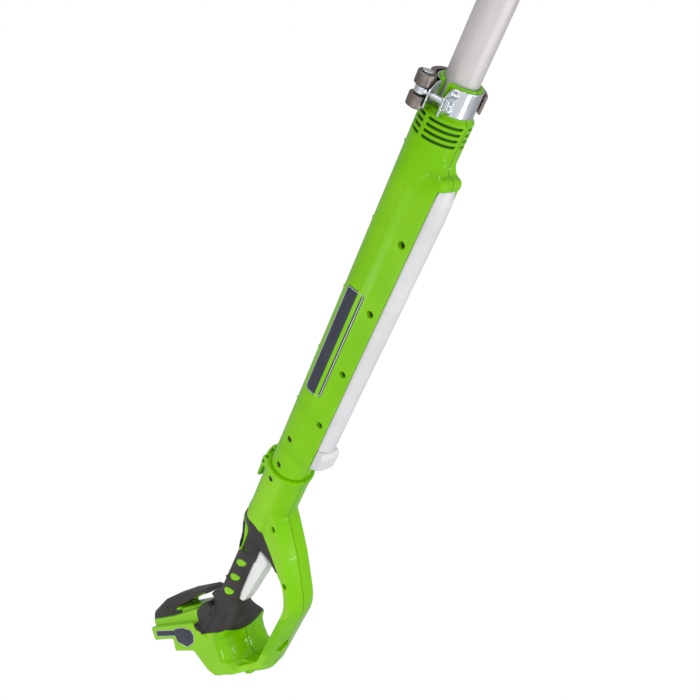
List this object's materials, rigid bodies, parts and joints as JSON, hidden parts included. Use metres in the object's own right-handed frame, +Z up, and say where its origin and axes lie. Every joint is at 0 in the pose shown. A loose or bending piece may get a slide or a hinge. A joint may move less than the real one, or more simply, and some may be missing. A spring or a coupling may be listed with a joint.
{
  "type": "cordless string trimmer",
  "caption": "Cordless string trimmer with a telescoping shaft, cam clamp, twisting knuckle-loop handle, battery dock, angled head, guard and bump-feed spool.",
  "frame": {"origin": "middle of the footprint on the ground, where the handle's loop and the guard's lip rest", "axes": "+X along the shaft to the cutting head, +Z up, -Y the side with the screw recesses and the label"},
  "size_m": [1.2198, 0.2242, 0.2073],
  "materials": {
    "shell_green": "semi-gloss",
    "grip_rubber": "matt",
    "black_plastic": "satin",
    "rail_white": "satin",
    "trigger_white": "satin",
    "label": "satin",
    "zinc_steel": "zinc plated",
    "steel": "bright",
    "lever_grey": "satin",
    "tube_silver": "satin paint",
    "motor_can": "satin",
    "board_green": "satin",
    "line_orange": "satin"
  },
  "bodies": {
    "housing": {"housing_near": "shell_green", "housing_far": "shell_green", "coupling_sleeve": "black_plastic", "slide_rail": "rail_white", "rail_stop": "rail_white", "housing_screws": "steel", "label_plate": "label", "tube_guide": "black_plastic", "coiled_lead": "black_plastic", "clamp_band": "zinc_steel", "eye_bolt": "zinc_steel", "clamp_nut": "zinc_steel", "lever_pin": "steel"},
    "lever": {"clamp_lever": "lever_grey"},
    "tube": {"tube": "tube_silver", "tube_stop": "black_plastic", "tube_lead": "black_plastic", "head_near": "shell_green", "head_far": "shell_green", "head_screws": "steel", "motor": "motor_can", "shaft_bearing": "steel", "guard": "black_plastic", "guard_screws": "steel", "line_cutter": "steel"},
    "handle": {"handle_near": "shell_green", "handle_far": "shell_green", "grip_cover_near": "grip_rubber", "grip_cover_far": "grip_rubber", "loop_inlay_near": "grip_rubber", "loop_inlay_far": "grip_rubber", "bar_cover_near": "grip_rubber", "bar_cover_far": "grip_rubber", "handle_screws": "steel", "trigger_pin": "steel", "trigger_spring": "steel", "lock_spring": "steel", "power_switch": "black_plastic", "control_board": "board_green", "battery_terminals": "black_plastic", "handle_lead": "black_plastic", "dock_badge": "label", "latch_pin": "steel", "latch_spring": "steel"},
    "trigger": {"trigger": "trigger_white"},
    "lock": {"lock_button": "black_plastic"},
    "latch": {"twist_latch": "shell_green"},
    "spool": {"motor_shaft": "steel", "spool_housing": "black_plastic", "line_spool": "shell_green", "cutting_line": "line_orange", "line_eyelets": "steel", "bump_spring": "steel"},
    "knob": {"bump_knob": "black_plastic"}
  },
  "joints": [
    {"name": "clamp_lever_swing", "type": "hinge", "parent": "housing", "child": "lever", "pos_m": [0.28081, -0.02982, 0.10916], "axis": [1, 0, 0], "range_deg": [0, 110]},
    {"name": "shaft_slide", "type": "slide", "parent": "housing", "child": "tube", "axis": [1, 0, 0], "range_m": [-0.15, 0.15]},
    {"name": "handle_twist", "type": "hinge", "parent": "housing", "child": "handle", "pos_m": [-0.15119, 0, 0.0995], "axis": [-1, 0, 0], "range_deg": [0, 180]},
    {"name": "trigger_squeeze", "type": "hinge", "parent": "handle", "child": "trigger", "pos_m": [-0.29719, 0, 0.0885], "axis": [0, 1, 0], "range_deg": [0, 6], "stiffness_Nm_per_rad": 2, "springref_deg": -4.58},
    {"name": "lock_press", "type": "slide", "parent": "handle", "child": "lock", "axis": [0, 0, -1], "range_m": [0, 0.004], "stiffness_N_per_m": 400, "springref_m": -0.003, "deforming": ["lock_spring"]},
    {"name": "latch_press", "type": "hinge", "parent": "handle", "child": "latch", "pos_m": [-0.17219, 0, 0.1285], "axis": [0, -1, 0], "range_deg": [0, 7], "stiffness_Nm_per_rad": 0.6, "springref_deg": -6.88, "deforming": ["latch_spring"]},
    {"name": "spool_spin", "type": "hinge", "parent": "tube", "child": "spool", "pos_m": [0.55981, 0, 0.0895], "axis": [-0.5736, 0, 0.8192], "continuous": true},
    {"name": "bump_press", "type": "slide", "parent": "spool", "child": "knob", "axis": [-0.5736, 0, 0.8192], "range_m": [0, 0.0035], "stiffness_N_per_m": 800, "springref_m": -0.003}
  ]
}
